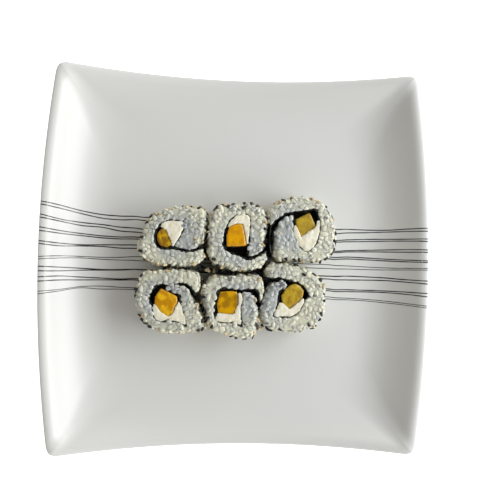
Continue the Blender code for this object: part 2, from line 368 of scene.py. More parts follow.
def facing(normal: np.ndarray, turn: float, tilt: float) -> np.ndarray:
    """Turns a small shape to lie on a surface.

    Args:
        normal: The surface's outward normal, which becomes the shape's Z.
        turn: The shape's turn about that normal.
        tilt: How far its long X axis lifts from the surface.

    Returns:
        The three axes of the shape as rows.
    """
    basis = Vector(normal).to_track_quat("Z", "X").to_matrix()
    turned = basis @ Matrix.Rotation(turn, 3, "Z") @ Matrix.Rotation(tilt, 3, "Y")
    return np.array(turned.transposed())


# --------------------------------------------------------------------------- finishes


class Wiring:
    """Adds and joins nodes in one tree."""

    def __init__(self, tree: bpy.types.NodeTree) -> None:
        """Keeps the tree to work in.

        Args:
            tree: A material's or a group's node tree.
        """
        self.tree = tree

    def add(self, kind: str, feed: dict | None = None, **settings: object) -> bpy.types.Node:
        """Adds a node.

        Args:
            kind: The node's type.
            feed: What goes into its inputs, by name or number: a socket is linked, a value set.
            settings: The node's own properties.

        Returns:
            The node.
        """
        node = self.tree.nodes.new(kind)
        for name, value in settings.items():
            setattr(node, name, value)
        for name, value in (feed or {}).items():
            if isinstance(value, bpy.types.NodeSocket):
                self.tree.links.new(value, node.inputs[name])
            else:
                node.inputs[name].default_value = value
        return node

    def blend(self, share: object, low: object, high: object, mode: str = "MIX") -> bpy.types.NodeSocket:
        """Mixes two colours.

        Args:
            share: The share of the second, as a socket or a number.
            low: The first colour.
            high: The second colour.
            mode: How they are mixed.

        Returns:
            The mixed colour's socket.
        """
        feed = {0: share, 6: low, 7: high}
        return self.add("ShaderNodeMix", feed, data_type="RGBA", blend_type=mode).outputs[2]

    def spread(self, value: object, low: float, high: float) -> bpy.types.NodeSocket:
        """Maps 0 to 1 onto another range, and holds it there.

        Args:
            value: The socket to map.
            low: What 0 becomes.
            high: What 1 becomes.

        Returns:
            The mapped value's socket.
        """
        feed = {"Value": value, "To Min": low, "To Max": high}
        return self.add("ShaderNodeMapRange", feed).outputs["Result"]


def new_group(name: str, takes: Sequence[tuple], gives: Sequence[tuple]) -> tuple:
    """Starts a shader node group.

    Args:
        name: The group's name.
        takes: Name, socket type and default of each input.
        gives: Name and socket type of each output.

    Returns:
        The group's wiring, its input node and its output node.
    """
    tree = bpy.data.node_groups.new(name, "ShaderNodeTree")
    for label, kind, default in takes:
        socket = tree.interface.new_socket(name=label, in_out="INPUT", socket_type=kind)
        if default is not None:
            socket.default_value = default
    for label, kind in gives:
        tree.interface.new_socket(name=label, in_out="OUTPUT", socket_type=kind)
    wiring = Wiring(tree)
    return wiring, wiring.add("NodeGroupInput"), wiring.add("NodeGroupOutput")


def make_mottle() -> bpy.types.NodeTree:
    """Makes the group that lets two colours run into each other in soft patches.

    Returns:
        The group, which puts out the colour and the patches' mask.
    """
    wiring, given, result = new_group(
        "mottle",
        (
            ("Vector", "NodeSocketVector", None),
            ("Scale", "NodeSocketFloat", 200.0),
            ("Contrast", "NodeSocketFloat", 3.0),
            ("Low", "NodeSocketColor", None),
            ("High", "NodeSocketColor", None),
        ),
        (("Colour", "NodeSocketColor"), ("Mask", "NodeSocketFloat")),
    )
    feed = {"Vector": given.outputs["Vector"], "Scale": given.outputs["Scale"], "Detail": 3.0}
    patches = wiring.add("ShaderNodeTexNoise", feed)
    centred = wiring.add("ShaderNodeMath", {0: patches.outputs["Fac"], 1: 0.5}, operation="SUBTRACT")
    steep = wiring.add(
        "ShaderNodeMath",
        {0: centred.outputs[0], 1: given.outputs["Contrast"], 2: 0.5},
        operation="MULTIPLY_ADD",
        use_clamp=True,
    )
    colour = wiring.blend(steep.outputs[0], given.outputs["Low"], given.outputs["High"])
    wiring.tree.links.new(colour, result.inputs["Colour"])
    wiring.tree.links.new(steep.outputs[0], result.inputs["Mask"])
    return wiring.tree


def make_grain() -> bpy.types.NodeTree:
    """Makes the group for small relief: soft noise crossed by fine cells.

    Returns:
        The group, which puts out a height.
    """
    wiring, given, result = new_group(
        "grain",
        (
            ("Vector", "NodeSocketVector", None),
            ("Scale", "NodeSocketFloat", 800.0),
            ("Cells", "NodeSocketFloat", 0.3),
        ),
        (("Height", "NodeSocketFloat"),),
    )
    place = {"Vector": given.outputs["Vector"], "Scale": given.outputs["Scale"]}
    soft = wiring.add("ShaderNodeTexNoise", {**place, "Detail": 4.0})
    cells = wiring.add("ShaderNodeTexVoronoi", place)
    height = wiring.add(
        "ShaderNodeMath",
        {0: cells.outputs["Distance"], 1: given.outputs["Cells"], 2: soft.outputs["Fac"]},
        operation="MULTIPLY_ADD",
    )
    wiring.tree.links.new(height.outputs[0], result.inputs["Height"])
    return wiring.tree


@dataclass(frozen=True)
class Finish:
    """A mottled, slightly uneven surface, with the values that all finishes here share."""

    name: str
    low: Colour
    high: Colour
    patch: float = 5.0
    contrast: float = 3.0
    smooth: float = 0.3
    rough: float = 0.5
    relief: float = 0.05
    relief_size: float = 1.0
    cells: float = 0.3
    soak: float = 0.0
    soak_depth: float = 1.0
    soak_tint: Colour = (1.0, 0.8, 0.6)
    coat: float = 0.0
    coat_rough: float = 0.1
    shine: float = 0.5

    def colour(self, wiring: Wiring, place: bpy.types.NodeSocket, mottle: bpy.types.Node) -> object:
        """Returns the socket of the base colour, which is the plain mottle here."""
        return mottle.outputs["Colour"]

    def build(self, groups: dict[str, bpy.types.NodeTree]) -> bpy.types.Material:
        """Makes the material.

        Args:
            groups: The shared node groups by name.

        Returns:
            The material.
        """
        material = bpy.data.materials.new(self.name)
        material.use_nodes = True
        wiring = Wiring(material.node_tree)
        shader = material.node_tree.nodes["Principled BSDF"]
        place = wiring.add("ShaderNodeTexCoord").outputs["Object"]
        feed = {"Vector": place, "Scale": 1.0 / (self.patch * MM), "Contrast": self.contrast}
        feed.update({"Low": (*self.low, 1.0), "High": (*self.high, 1.0)})
        mottle = wiring.tree.nodes.new("ShaderNodeGroup")
        mottle.node_tree = groups["mottle"]
        grain = wiring.tree.nodes.new("ShaderNodeGroup")
        grain.node_tree = groups["grain"]
        self.plug(wiring, mottle, feed)
        self.plug(wiring, grain, {"Vector": place, "Scale": 1.0 / (self.relief_size * MM), "Cells": self.cells})
        bump = wiring.add("ShaderNodeBump", {"Height": grain.outputs["Height"], "Distance": self.relief * MM})
        wiring.tree.links.new(self.colour(wiring, place, mottle), shader.inputs["Base Color"])
        wiring.tree.links.new(bump.outputs["Normal"], shader.inputs["Normal"])
        rough = wiring.spread(mottle.outputs["Mask"], self.rough, self.smooth)
        wiring.tree.links.new(rough, shader.inputs["Roughness"])
        shader.inputs["Specular IOR Level"].default_value = self.shine
        shader.inputs["Subsurface Weight"].default_value = self.soak
        shader.inputs["Subsurface Radius"].default_value = self.soak_tint
        shader.inputs["Subsurface Scale"].default_value = self.soak_depth * MM
        shader.inputs["Coat Weight"].default_value = self.coat
        shader.inputs["Coat Roughness"].default_value = self.coat_rough
        return material

    @staticmethod
    def plug(wiring: Wiring, node: bpy.types.Node, feed: dict) -> None:
        """Feeds a group node's inputs.

        Args:
            wiring: The material's wiring.
            node: The group node.
            feed: Sockets or values by input name.
        """
        for name, value in feed.items():
            if isinstance(value, bpy.types.NodeSocket):
                wiring.tree.links.new(value, node.inputs[name])
            else:
                node.inputs[name].default_value = value


@dataclass(frozen=True)
class RiceFinish(Finish):
    """Cooked rice: grains that differ in shade at random, with painted shade inside the roll and painted light
    outside.
    """

    # Colours of the rice in painted shade and in painted light.
    shaded: Colour = (0.5, 0.56, 0.6)
    lit: Colour = (0.66, 0.65, 0.56)

    def colour(self, wiring: Wiring, place: bpy.types.NodeSocket, mottle: bpy.types.Node) -> object:
        """Mixes the grains' random tones and their painted light and shade, kept in a colour attribute, with the
        mottle.

        Args:
            wiring: The material's wiring.
            place: Object coordinates, not used here.
            mottle: The mottle node.

        Returns:
            The base colour's socket.
        """
        tone_and_painted_shade = wiring.add("ShaderNodeAttribute", attribute_name="tone_and_painted_shade").outputs["Color"]
        parts = wiring.add("ShaderNodeSeparateColor", {"Color": tone_and_painted_shade})
        # Painted light and shade: the green channel mixes shaded rice into lit rice; the red one holds random and
        # painted shade.
        body = wiring.blend(parts.outputs["Green"], (*self.shaded, 1.0), (*self.lit, 1.0))
        shade = wiring.spread(parts.outputs["Red"], 0.78, 1.16)
        grey = wiring.add("ShaderNodeCombineColor", {0: shade, 1: shade, 2: shade}).outputs["Color"]
        body = wiring.blend(1.0, body, grey, "MULTIPLY")
        return wiring.blend(0.5, body, wiring.blend(1.0, body, mottle.outputs["Colour"], "MULTIPLY"))


@dataclass(frozen=True)
class MangoFinish(Finish):
    """Wet mango flesh with fibres that run one way."""

    relief: float = 0.5
    relief_size: float = 3.6
    cells: float = 0.15
    fibre: Colour = (0.8, 0.5, 0.06)
    fibre_turn: float = 0.6
    fibre_share: float = 0.4

    def colour(self, wiring: Wiring, place: bpy.types.NodeSocket, mottle: bpy.types.Node) -> object:
        """Draws pale fibres over the mottle.

        Args:
            wiring: The material's wiring.
            place: Object coordinates.
            mottle: The mottle node.

        Returns:
            The base colour's socket.
        """
        turn = {"Vector": place, "Rotation": (0, 0, self.fibre_turn), "Scale": (1.0, 0.22, 0.3)}
        along = wiring.add("ShaderNodeMapping", turn).outputs["Vector"]
        threads = wiring.add("ShaderNodeTexNoise", {"Vector": along, "Scale": 900.0, "Detail": 3.0})
        clear = wiring.add(
            "ShaderNodeMapRange",
            {"Value": threads.outputs["Fac"], "From Min": 0.5, "From Max": 0.75, "To Max": self.fibre_share},
        )
        return wiring.blend(clear.outputs["Result"], mottle.outputs["Colour"], (*self.fibre, 1.0))


# --------------------------------------------------------------------------- the plate


@dataclass
class Dish:
    """The plate, in millimetres: bowed sides, dipped ends, four raised corners and a foot."""

    side_bow: float = 9.6
    end_dip: float = 4.8
    corner_y: float = 126.1
    corner_cut: float = 0.06
    side_drop: float = 2.0
    end_drop: float = 13.0
    floor_x: float = 80.0
    floor_y: float = 75.0
    floor_cut: float = 0.4
    foot_cut: float = 0.16
    floor_z: float = 6.0
    porcelain: float = 4.5
    foot_x: float = 70.0
    foot_y: float = 66.0
    foot_width: float = 6.0
    foot_recess: float = 1.2
    foot_round: float = 0.8
    wall_rise: float = 2.8
    roll_from: float = 0.9
    lip: tuple[Pair, ...] = ((1.0, 4.0), (0.1, 2.8), (0.0, 1.6), (0.4, 0.6), (1.3, 0.1), (2.8, 0.0))
    wall_steps: int = 22
    lip_steps: int = 3
    side_steps: int = 36
    corner_steps: int = 16

    def outline(self, half_x: float, half_y: float, bow: float, dip: float, cut: float) -> list[tuple]:
        """Draws a square outline with bowed sides, dipped ends and curved corners.

        Args:
            half_x: Half the width between the corners.
            half_y: Half the depth between the corners.
            bow: How far the sides bulge.
            dip: How far the ends draw in.
            cut: Share of each half edge that a corner's curve takes up.

        Returns:
            Each point with its height share, 1 at a corner, and True on a bowed side.
        """

        def on_edge(edge: int, t: float) -> Vector:
            if edge % 2 == 0:
                point = Vector((half_x + bow * (1 - t * t), t * half_y))
            else:
                point = Vector((-t * half_x, half_y - dip * (1 - t * t)))
            return point if edge < 2 else -point

        points = []
        for edge in range(4):
            for step in range(self.side_steps + 1):
                t = (1 - cut) * (2 * step / self.side_steps - 1)
                points.append((on_edge(edge, t), t * t, edge % 2 == 0))
            start, tip = on_edge(edge, 1 - cut), on_edge(edge, 1)
            end = on_edge((edge + 1) % 4, cut - 1)
            for step in range(1, self.corner_steps):
                s = step / self.corner_steps
                point = start * (1 - s) ** 2 + tip * 2 * s * (1 - s) + end * s**2
                points.append((point, (1 - cut * abs(1 - 2 * s)) ** 2, (edge % 2 == 0) == (s < 0.5)))
        return points

    def rim(self, inset: float, drop: float) -> list[Vector]:
        """Returns the rim's outline, drawn in and lowered.

        Args:
            inset: How far it is drawn in.
            drop: How far it is lowered.
        """
        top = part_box("plate")[1]
        corner_x = top.x / MM - self.side_bow
        loop = []
        outline = self.outline(corner_x - inset, self.corner_y - inset, self.side_bow, self.end_dip, self.corner_cut)
        for point, share, on_side in outline:
            fall = self.side_drop if on_side else self.end_drop
            loop.append(Vector((point.x, point.y, top.z / MM - fall * (1 - share) - drop)))
        return loop

    def flat(self, half_x: float, half_y: float, z: float, cut: float) -> list[Vector]:
        """Returns a level square loop with soft corners.

        Args:
            half_x: Half its width.
            half_y: Half its depth.
            z: Its height.
            cut: Share of each half edge that a corner's curve takes up.
        """
        outline = self.outline(half_x, half_y, 0, 0, cut)
        return [Vector((point.x, point.y, z)) for point, _, _ in outline]

    def rise(self, step: float) -> float:
        """Returns the wall's share of its height: it rises steeply, then rolls over to the rim.

        Args:
            step: 0 at the edge of the floor and 1 at the rim.
        """
        start, power = self.roll_from, self.wall_rise
        slope = power * start ** (power - 1)
        steepness = 1 / (start**power + slope * (1 - start) / 2)
        if step < start:
            return steepness * step**power
        return 1 - steepness * slope / (1 - start) / 2 * (1 - step) ** 2

    def wall(self, step: float, drop: float) -> list[Vector]:
        """Returns a loop of the wall.

        Args:
            step: 0 at the edge of the floor and 1 at the rim.
            drop: How far under the upper surface it lies.
        """
        loop = []
        rise = self.rise(step)
        floor = self.flat(self.floor_x, self.floor_y, self.floor_z, self.floor_cut)
        for low, high in zip(floor, self.rim(*self.lip[-1])):
            point = low.lerp(high, step)
            point.z = low.z + (high.z - low.z) * rise - drop
            loop.append(point)
        return loop

    def levels(self) -> list[list[Vector]]:
        """Lists the loops from under the foot, out over the rim and down to the floor."""
        steps = [i / self.wall_steps for i in range(self.wall_steps)]
        inner, soft = self.foot_width, self.foot_round
        under = self.floor_z - self.porcelain
        foot = ((inner + 8, self.foot_recess), (inner, self.foot_recess), (inner, soft), (inner - soft, 0))
        foot += ((soft, 0), (0, soft), (0, under))
        loops = [self.flat(self.foot_x - inset, self.foot_y - inset, z, self.foot_cut) for inset, z in foot]
        loops += [self.wall(step, self.porcelain) for step in steps]
        loops += [self.rim(*point) for point in flow(self.lip, self.lip_steps)]
        loops += [self.wall(step, 0) for step in reversed(steps)]
        for share in (0.97, 0.9, 0.5):
            loops.append(self.flat(self.floor_x * share, self.floor_y * share, self.floor_z, self.floor_cut))
        return loops

    def build(self) -> bpy.types.Object:
        """Extrudes a filled circle from loop to loop into the plate.

        Returns:
            The plate.
        """
        loops = self.levels()
        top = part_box("plate")[1]
        across = top.x / MM / max(point.x for loop in loops for point in loop)
        deep = top.y / MM / max(point.y for loop in loops for point in loop)
        fit = Matrix.Diagonal((across * MM, deep * MM, MM))
        bpy.ops.object.select_all(action="DESELECT")
        bpy.ops.mesh.primitive_circle_add(vertices=len(loops[0]), radius=0.05, fill_type="NGON")
        piece = bpy.context.object
        piece.name = piece.data.name = "plate_glazed"
        station = piece.data.attributes.new("station", "INT", "POINT")
        station.data.foreach_set("value", range(len(loops[0])))
        bpy.ops.object.mode_set(mode="EDIT")
        for number, loop in enumerate(loops):
            if number:
                bpy.ops.mesh.extrude_region_move()
            shape = bmesh.from_edit_mesh(piece.data)
            layer = shape.verts.layers.int["station"]
            for corner in shape.verts:
                if corner.select:
                    corner.co = fit @ loop[corner[layer]]
            bmesh.update_edit_mesh(piece.data)
        bpy.ops.mesh.select_all(action="SELECT")
        bpy.ops.mesh.normals_make_consistent(inside=False)
        bpy.ops.object.mode_set(mode="OBJECT")
        piece.data.attributes.remove(piece.data.attributes["station"])
        bpy.ops.object.shade_smooth_by_angle(angle=math.radians(50))
        return piece


@dataclass(frozen=True)
class Stroke:
    """One painted line: its place at each station from the left rim to the right one."""

    heights: tuple[float, ...]
    width: float = 0.6


@dataclass
class Strokes:
    """Eight pairs of thin wavy lines across the middle of the plate, in millimetres."""

    stations: tuple[float, ...] = (-128, -115, -103, -90, -78, -64, 64, 76, 89, 102, 114, 128)
    dark: float = 0.7
    faint: float = 0.48
    proud: float = 0.05
    step: int = 20

    def pairs(self) -> list[Stroke]:
        """Lists the lines, from the rear of the plate to its front."""
        return [
            Stroke((35.6, 33.6, 31.0, 29.1, 28.4, 28.0, 23.1, 23.0, 22.7, 22.7, 23.3, 23.7), self.dark),
            Stroke((33.8, 31.6, 29.1, 26.7, 25.9, 25.9, 20.2, 20.5, 20.9, 21.4, 21.7, 21.6), self.dark),
            Stroke((27.6, 24.7, 23.3, 22.4, 21.0, 20.0, 15.4, 15.7, 16.3, 16.5, 16.5, 16.5), self.dark),
            Stroke((25.4, 23.3, 21.3, 20.6, 18.4, 17.5, 14.2, 14.4, 14.8, 15.2, 15.2, 14.8), self.dark),
            Stroke((19.2, 17.2, 16.0, 14.9, 14.4, 14.1, 8.1, 8.3, 8.8, 9.2, 9.4, 9.2), self.dark),
            Stroke((16.8, 15.5, 14.6, 13.6, 13.1, 12.8, 7.1, 7.4, 7.7, 7.8, 7.7, 7.6), self.dark),
            Stroke((10.3, 9.1, 8.6, 8.9, 9.1, 8.8, 3.8, 3.9, 3.5, 2.9, 2.4, 1.9), self.dark),
            Stroke((8.5, 7.4, 7.8, 7.8, 7.0, 6.6, 2.4, 2.6, 2.2, 1.7, 1.2, 0.8), self.dark),
            Stroke((0.0, 0.9, 0.9, 0.6, 0.8, 1.4, -1.6, -2.2, -2.7, -3.1, -3.2, -3.1), self.faint),
            Stroke((-1.6, -0.5, -0.1, -0.7, -1.0, -1.3, -4.2, -4.3, -4.5, -4.5, -4.3, -4.2), self.faint),
            Stroke((-6.0, -6.4, -6.9, -7.5, -7.4, -7.1, -9.4, -9.2, -9.5, -10.0, -10.9, -11.6), 0.75),
            Stroke((-9.0, -8.8, -8.2, -7.9, -7.7, -7.3, -11.4, -11.8, -11.7, -11.8, -12.5, -13.6), self.dark),
            Stroke((-12.9, -12.1, -12.7, -13.2, -13.6, -13.5, -18.2, -18.5, -18.7, -18.9, -19.2, -19.8), 0.7),
            Stroke((-15.6, -14.7, -14.6, -14.4, -14.3, -14.5, -19.4, -19.8, -19.8, -20.0, -20.7, -22.1), self.dark),
            Stroke((-22.0, -20.8, -19.0, -18.5, -19.1, -19.8, -23.6, -24.3, -24.9, -25.8, -26.9, -28.3), self.faint),
            Stroke((-23.8, -21.8, -19.8, -20.5, -20.4, -21.0, -25.0, -25.4, -26.0, -27.0, -28.0, -29.6), self.faint),
        ]

    def ribbon(self, stroke: Stroke, name: str, plate: Skin) -> bpy.types.Object:
        """Lays one line on the plate as a thin closed ribbon.

        Args:
            stroke: The line.
            name: Name of the new object.
            plate: The plate's skin.

        Returns:
            The ribbon.
        """
        heights = [point.x for point in flow([(height, 0) for height in stroke.heights], self.step)]
        shares = np.arange(len(heights)) / self.step
        places = np.interp(shares, range(len(self.stations)), self.stations)
        path = [Vector(point) for point in zip(places, heights)]
        path = [point for point in path if plate.height(point.x * MM, point.y * MM) is not None]
        bpy.ops.object.select_all(action="DESELECT")
        bpy.ops.mesh.primitive_grid_add(x_subdivisions=len(path) - 1, y_subdivisions=1, size=1)
        piece = bpy.context.object
        piece.name = name
        for corner in piece.data.vertices:
            spot = path[round((corner.co.x + 0.5) * (len(path) - 1))]
            swell = 1 + 0.25 * noise.noise(Vector((spot.x / 6, spot.y, 0)))
            y = spot.y + (stroke.width * swell / 2 if corner.co.y > 0 else -stroke.width * swell / 2)
            height = plate.height(spot.x * MM, y * MM)
            corner.co = Vector((spot.x * MM, y * MM, height + self.proud * MM))
        body = piece.modifiers.new("body", "SOLIDIFY")
        body.thickness = 3 * self.proud * MM
        body.offset = -1
        apply_modifiers(piece)
        return piece

    def build(self, plate: bpy.types.Object) -> bpy.types.Object:
        """Lays every line and joins them.

        Args:
            plate: The finished plate.

        Returns:
            The lines as one piece.
        """
        skin = Skin.of(plate)
        ribbons = [self.ribbon(stroke, f"line_{i}", skin) for i, stroke in enumerate(self.pairs())]
        take_up(ribbons[0])
        for ribbon in ribbons[1:]:
            ribbon.select_set(True)
        bpy.ops.object.join()
        ribbons[0].name = ribbons[0].data.name = "painted_lines"
        return ribbons[0]


# --------------------------------------------------------------------------- the rolls


@dataclass(frozen=True)
class Grain:
    """One grain of short rice or one seed, in millimetres."""

    length: float
    width: float
    thickness: float
    taper: float = 0.0
    bend: float = 0.0
    around: int = 8
    along: int = 6

    def model(self, name: str) -> tuple[np.ndarray, list[list[int]]]:
        """Models it once, as a drawn out and bent ball that lies along X.

        Args:
            name: Name of the passing object.

        Returns:
            Its corners in millimetres and its faces.
        """
        bpy.ops.object.select_all(action="DESELECT")
        bpy.ops.mesh.primitive_uv_sphere_add(segments=self.around, ring_count=self.along, radius=0.5)
        ball = bpy.context.object
        ball.name = name
        bpy.ops.object.mode_set(mode="EDIT")
        bpy.ops.mesh.select_all(action="SELECT")
        bpy.ops.transform.rotate(value=math.pi / 2, orient_axis="Y", center_override=(0, 0, 0))
        bpy.ops.transform.resize(value=(self.length, self.width, self.thickness))
        bpy.ops.object.mode_set(mode="OBJECT")
        corners = np.array([corner.co for corner in ball.data.vertices], float)
        share = corners[:, 0] / (self.length / 2)
        full = (1 - np.abs(share) ** 3) ** (1 / 3) / np.maximum(np.sqrt(1 - share**2), 0.05)
        full = np.where(np.abs(share) > 0.99, 1.0, full)
        corners[:, 1:] *= (full * (1 - self.taper * share))[:, None]
        corners[:, 1] += self.bend * share**2
        faces = [list(polygon.vertices) for polygon in ball.data.polygons]
        bpy.data.objects.remove(ball)
        return corners, faces


@dataclass(frozen=True)
class PaintedShading:
    """Painted shading of one roll's rice: how light it is, and where its painted shade centres from its middle, in
    mm.
    """

    shade: float = 0.5
    shaded: Pair = (0.0, 0.0)


# Painted shade by roll: the left rolls, away from the light, are darker, and each shaded spot sits where shade
# falls.
PAINTED_SHADING = {
    "rear_left": PaintedShading(0.3, (2.0, 0.0)),
    "rear_middle": PaintedShading(0.4, (0.0, -4.0)),
    "rear_right": PaintedShading(0.45, (-8.0, 0.0)),
    "front_left": PaintedShading(0.3, (-3.0, 0.0)),
    "front_middle": PaintedShading(0.4, (2.0, 3.0)),
    "front_right": PaintedShading(0.4, (-12.0, 0.0)),
}

GRAINS = (
    Grain(6.0, 3.2, 2.4, taper=0.06, bend=0.35, around=10, along=7),
    Grain(5.3, 3.4, 2.5, taper=0.1, bend=-0.2, around=10, along=7),
    Grain(4.4, 3.3, 2.6, bend=0.15, around=10, along=7),
)


# Grains that lie loose in a pocket near the cut face: their places on the plate in mm.
LOOSE = {
    "rear_left": ((-34.2, 22.3), (-32.3, 24.6), (-33.3, 23.3), (-30.8, 25.9), (-35.1, 21.0), (-31.4, 23.6)),
    "front_left": ((-43.7, -18.4), (-41.2, -19.0), (-38.7, -17.7), (-42.5, -17.1), (-39.9, -20.2)),
    "front_right": ((27.4, -14.1), (29.4, -16.0), (26.2, -16.7)),
}


@dataclass
class RiceBand:
    """The rice of one roll: a rough core, and grains that cover what shows of it."""

    roll: str
    seed: int
    middle: Pair
    ceiling: float
    painted_shading: PaintedShading
    spacing: float = 2.6
    core_sink: float = 0.3
    clump: float = 0.8
    heap: float = 2.3
    clump_size: float = 5.0
    lining_reach: float = 0.9
    seam_reach: float = 2.4
    pocket_reach: float = 2.6
    out_limit: float = 2.2
    seam_limit: float = 0.7
    cut_limit: float = 0.42
    over_nori: float = 1.9
    over_depth: float = 1.2
    loose_depth: float = 1.5

    def sort_faces(self, skin: Skin, nori: Skin) -> list[Kind]:
        """Tells for each triangle of the band's solid what it faces.

        Args:
            skin: The band's skin.
            nori: The nori's skin.

        Returns:
            One kind for each triangle.
        """
        normals = skin.normals()
        normals /= np.linalg.norm(normals, axis=1)[:, None]
        middles = skin.corners[skin.faces].mean(axis=1)
        kinds = []
        for normal, spot in zip(normals, middles):
            if normal[2] > 0.75:
                kinds.append(Kind.CUT)
            elif normal[2] < -0.6:
                kinds.append(Kind.FOOT)
            elif nori.tree.find_nearest(Vector(spot), self.lining_reach * MM)[0] is not None:
                kinds.append(Kind.LINING)
            else:
                kinds.append(Kind.OUTSIDE)
        return kinds

    def tone_and_painted_shade(self, spots: np.ndarray, rng: np.random.Generator, shade: float) -> np.ndarray:
        """Works out the tones at some spots, with their painted light and shade.

        Args:
            spots: The spots in metres.
            rng: The source of random numbers.
            shade: The middle shade, from 0 to 1, a painted shade that is lower on the rolls away from the light.

        Returns:
            A random shade and a painted lit share for each spot.
        """
        # Painted light and shade: rice far from the roll's shaded spot is lit, rice near it shaded.
        across = (spots[:, 0] - self.middle[0]) / MM - self.painted_shading.shaded[0]
        away = np.hypot(across, (spots[:, 1] - self.middle[1]) / MM - self.painted_shading.shaded[1])
        lit_share = np.clip((away - 10.0) / 9.0, 0, 1)
        lit_share = np.clip(lit_share + rng.normal(0, 0.12, len(spots)), 0, 1)
        shades = np.clip(shade + rng.normal(0, 0.14, len(spots)), 0, 1)
        return np.stack([shades, lit_share], axis=1)

    @staticmethod
    def paint(piece: bpy.types.Object, tones: np.ndarray) -> None:
        """Stores the tones on a mesh.

        Args:
            piece: The piece to paint.
            tones: A shade and a painted lit share for each of its points.
        """
        colours = np.ones((len(tones), 4), np.float32)
        colours[:, :2] = tones
        colours[:, 2] = 0.0
        layer = piece.data.color_attributes.new("tone_and_painted_shade", "FLOAT_COLOR", "POINT")
        layer.data.foreach_set("color", colours.ravel())

    def build_core(self, node: bpy.types.Object) -> bpy.types.Object:
        """Makes the core: the band's solid, sunk and lumpy.

        Args:
            node: The band's CAD node.

        Returns:
            The core.
        """
        core = merged_copy(node, "rice_core_" + self.roll)
        remesh(core, 0.68 * MM, 1)
        roughen(core, 1.7 * MM, 0.55 * MM, self.core_sink * MM)
        apply_modifiers(core)
        for corner in core.data.vertices:
            corner.co.z = min(corner.co.z, self.ceiling)
        rng = np.random.default_rng(self.seed + 50)
        spots = np.array([corner.co for corner in core.data.vertices], float)
        self.paint(core, self.tone_and_painted_shade(spots, rng, self.painted_shading.shade))
        return core

    def build_grains(self, node: bpy.types.Object, inner: "Inside", shapes: list, faces: list) -> bpy.types.Object:
        """Covers the band with grains that are cut off near its solid's faces.

        Args:
            node: The band's CAD node.
            inner: What the band winds round.
            shapes: The corners of each sort of grain in millimetres.
            faces: The faces of a grain.

        Returns:
            The grains as one piece.
        """
        passing = merged_copy(node, "passing")
        skin = Skin.of(passing)
        bpy.data.objects.remove(passing)
        kinds = self.sort_faces(skin, inner.nori)
        model = Model(skin, kinds, skin.corners[:, 2].max(), inner)
        weight = {Kind.CUT: 1.2, Kind.FOOT: 0.0, Kind.LINING: 0.0, Kind.OUTSIDE: 1.0}
        rng = np.random.default_rng(self.seed)
        spots, on = skin.spots(7000, np.array([weight[kind] for kind in kinds]), rng)
        normals = skin.normals()
        normals /= np.linalg.norm(normals, axis=1)[:, None]
        bodies, places = [], []
        for number in thinned(spots, self.spacing * MM):
            cut = kinds[on[number]] is Kind.CUT
            tilt = rng.uniform(-0.35, 0.35) if cut else rng.normal(0, 0.35)
            axes = facing(normals[on[number]], rng.uniform(0, 2 * math.pi), tilt)
            depth = rng.uniform(0.8, 1.5) if cut else rng.uniform(0.4, 1.2)
            swell = self.clump if cut else self.heap
            depth -= swell * noise.noise(Vector(spots[number]) / (self.clump_size * MM))
            shape = shapes[rng.integers(len(shapes))] * rng.uniform(0.88, 1.08) * MM
            middle = spots[number] - normals[on[number]] * max(depth, 0.1) * MM
            share = rng.uniform(0.2, 1.0)
            body = self.trimmed(Vector(middle), middle + shape @ axes, model, share)
            if body is not None:
                bodies.append(body)
                places.append(spots[number])
        for x, y in LOOSE.get(self.roll, ()):
            axes = facing(np.array((0.0, 0.0, 1.0)), rng.uniform(0, 2 * math.pi), rng.normal(0, 0.3))
            middle = np.array((x * MM, y * MM, model.top - self.loose_depth * MM))
            bodies.append(middle + shapes[-1] * MM @ axes)
            places.append(middle)
        grains = joined("rice_grains_" + self.roll, bodies, faces)
        # The grains are painted lighter than the core, so the core between them shows a painted crevice shade.
        tones = self.tone_and_painted_shade(np.array(places), rng, self.painted_shading.shade + 0.15)
        self.paint(grains, np.repeat(tones, len(shapes[0]), axis=0))
        return grains

    def reach(self, kind: Kind, spot: Vector, top: float, inner: "Inside") -> float:
        """Tells how far a grain may stand out of the band's solid.

        Args:
            kind: What the solid faces there.
            spot: Where the grain leaves the solid.
            top: Height of the cut face.
            inner: What the band winds round.

        Returns:
            The distance in metres.
        """
        if kind is Kind.CUT:
            return self.cut_limit * MM
        if kind is Kind.FOOT:
            return 0.0
        if not inner.nori.near(spot, self.seam_reach * MM):
            return self.out_limit * MM
        if not inner.filling.near(spot, self.pocket_reach * MM):
            return self.seam_limit * MM
        if spot.z < top - self.over_depth * MM:
            return 0.0
        lap = 0.75 + 0.9 * noise.noise(Vector((spot.x, spot.y, 0)) / (3.0 * MM))
        return max(0.0, min(1.0, lap)) * self.over_nori * MM

    def trimmed(self, middle: Vector, points: np.ndarray, model: "Model", share: float) -> np.ndarray | None:
        """Draws the points that stand out of the solid back towards the grain's middle.

        Args:
            middle: The grain's middle.
            points: The grain's corners.
            model: The band's solid and what it winds round.
            share: The share of the allowed distance that this grain uses.

        Returns:
            The points, none of them further out than allowed, or None for a grain outside.
        """
        for number, point in enumerate(points):
            arm = Vector(point) - middle
            hit, normal, face, distance = model.skin.tree.ray_cast(middle, arm, arm.length)
            if hit is None:
                continue
            if normal.dot(arm) < 0:
                return None
            limit = self.reach(model.kinds[face], hit, model.top, model.inner) * share
            if arm.length > distance + limit:
                points[number] = middle + arm * ((distance + limit) / arm.length)
        points[:, 2] = np.minimum(points[:, 2], self.ceiling)
        return points


@dataclass(frozen=True)
class Model:
    """A band's solid, what each of its triangles faces, and what it winds round."""

    skin: Skin
    kinds: list[Kind]
    top: float
    inner: "Inside"


@dataclass(frozen=True)
class Inside:
    """What the band of rice of one roll winds round."""

    nori: Skin
    filling: Skin


@dataclass(frozen=True)
class Topping:
    """Where the seeds of one roll lie: pairs of a bearing in degrees and a distance in mm."""

    black: tuple[Pair, ...]
    toasted: tuple[Pair, ...]


